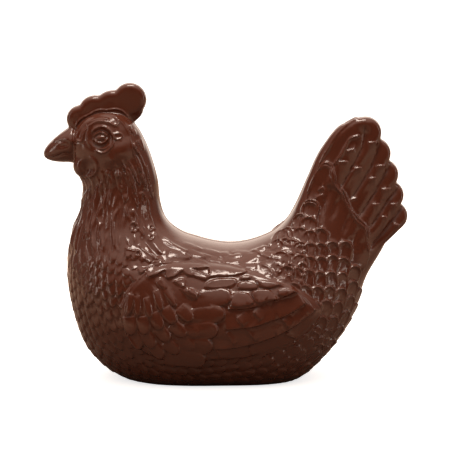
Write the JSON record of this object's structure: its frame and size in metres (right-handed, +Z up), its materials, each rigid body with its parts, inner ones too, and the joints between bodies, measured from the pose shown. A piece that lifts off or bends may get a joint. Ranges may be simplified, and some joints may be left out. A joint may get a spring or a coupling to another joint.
{
  "type": "chocolate hen",
  "caption": "Sitting hen of moulded milk chocolate with comb, beak, wattles, folded wings and an upright fanned tail, on a flat underside.",
  "frame": {"origin": "middle of the bounding box in X and Y, on the surface the hen stands on", "axes": "+Z up, +X towards the tail, so the beak points along -X; the mould's parting plane is Y = 0"},
  "size_m": [0.1498, 0.0732, 0.1218],
  "materials": {
    "milk_chocolate": "glossy moulded milk chocolate"
  },
  "bodies": {
    "root": {"hen": "milk_chocolate"}
  },
  "joints": []
}
